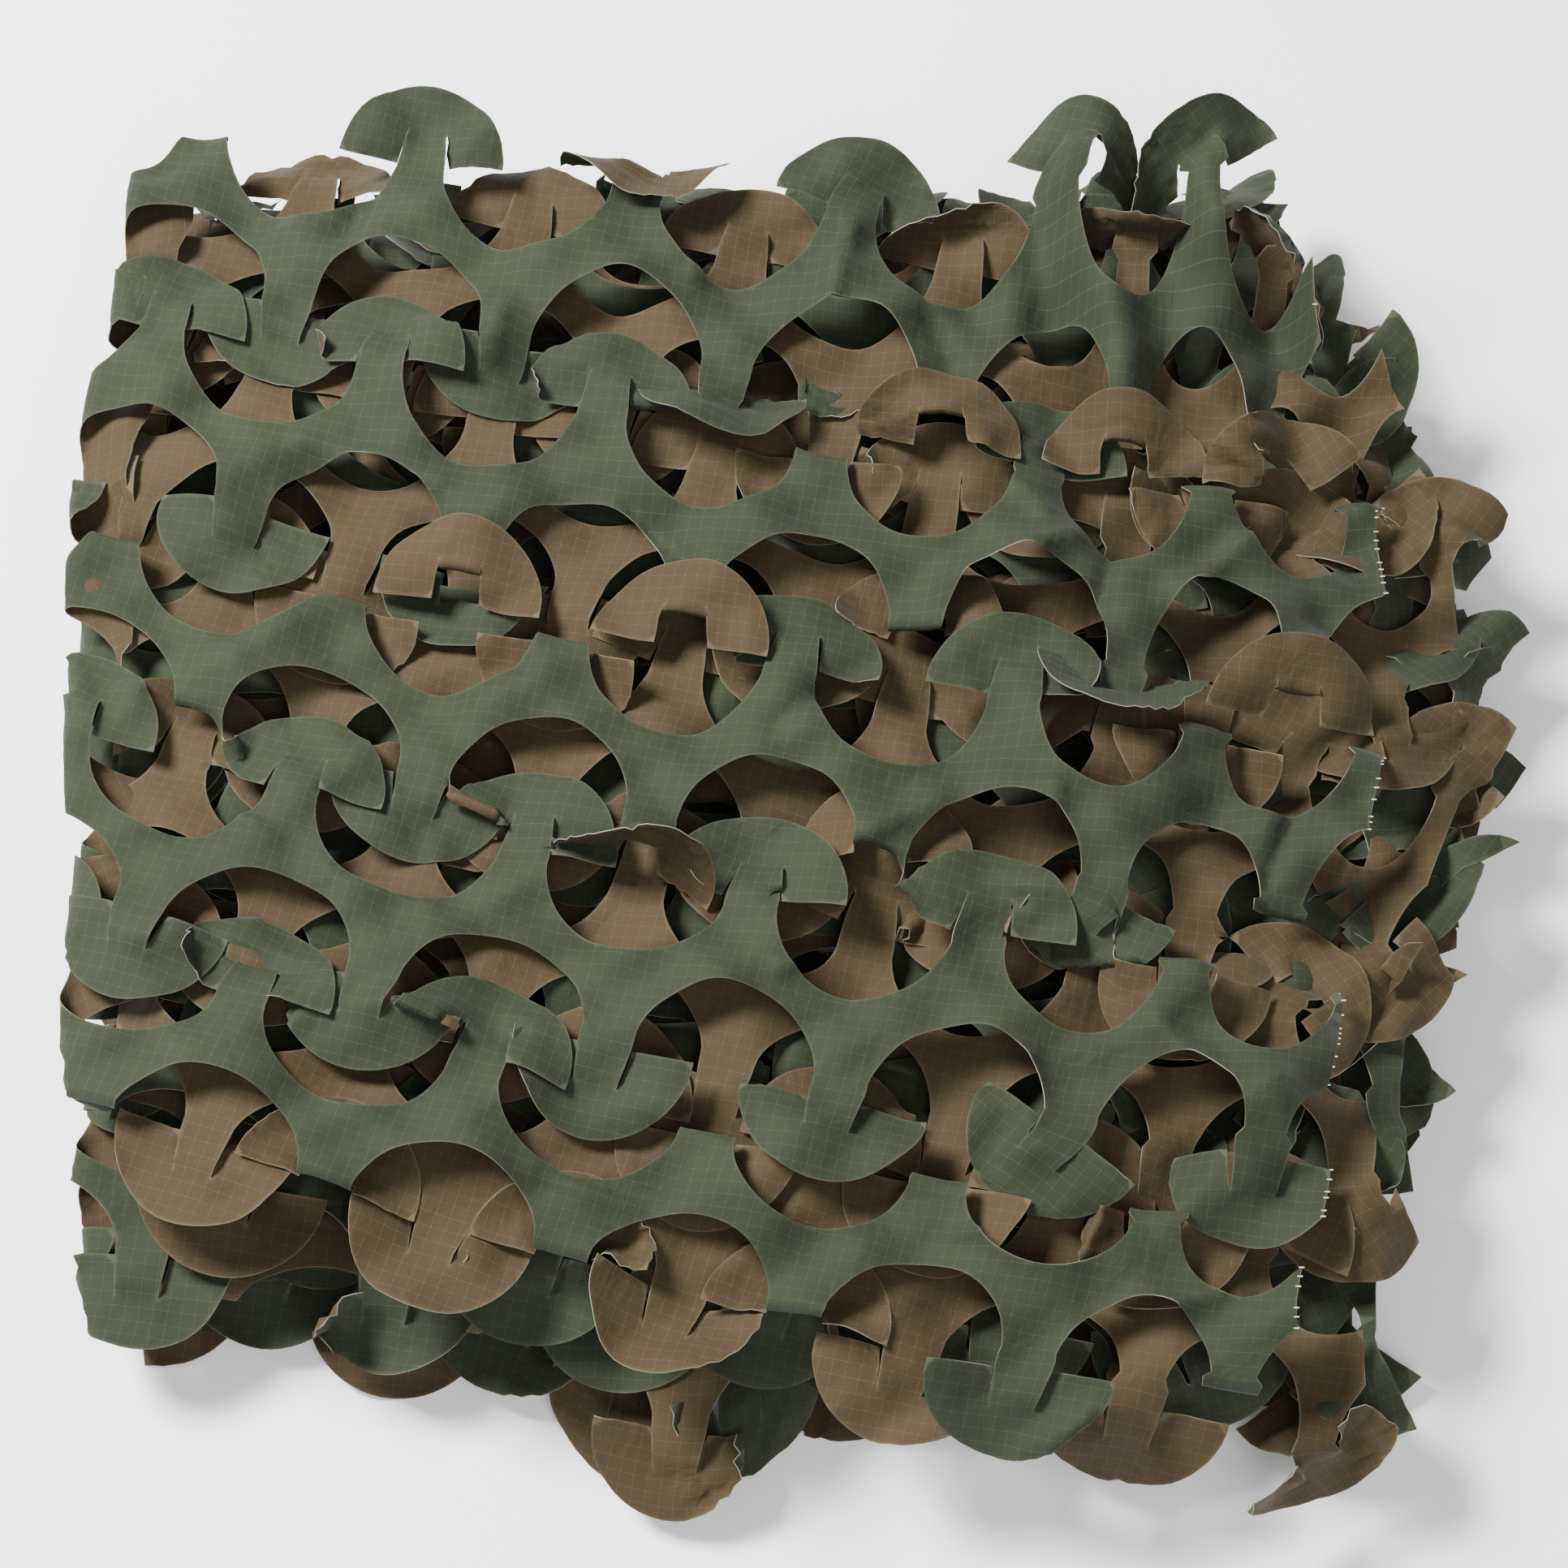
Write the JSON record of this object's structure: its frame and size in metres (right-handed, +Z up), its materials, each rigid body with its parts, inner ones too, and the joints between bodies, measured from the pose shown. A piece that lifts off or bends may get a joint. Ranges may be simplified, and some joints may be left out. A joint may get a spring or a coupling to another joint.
{
  "type": "folded camouflage net",
  "caption": "Folded camouflage net of thin ripstop cloth, green on one face and brown on the other, die-cut all over into half-round flaps.",
  "frame": {"origin": "middle of the footprint, at the height of the surface it lies on", "axes": "+Z up, -Y towards the front edge, +X towards the end where the top layer is cut off"},
  "size_m": [0.5728, 0.5512, 0.1359],
  "materials": {
    "net_green": "matte"
  },
  "bodies": {
    "root": {"net_cloth": "net_green"}
  },
  "joints": []
}
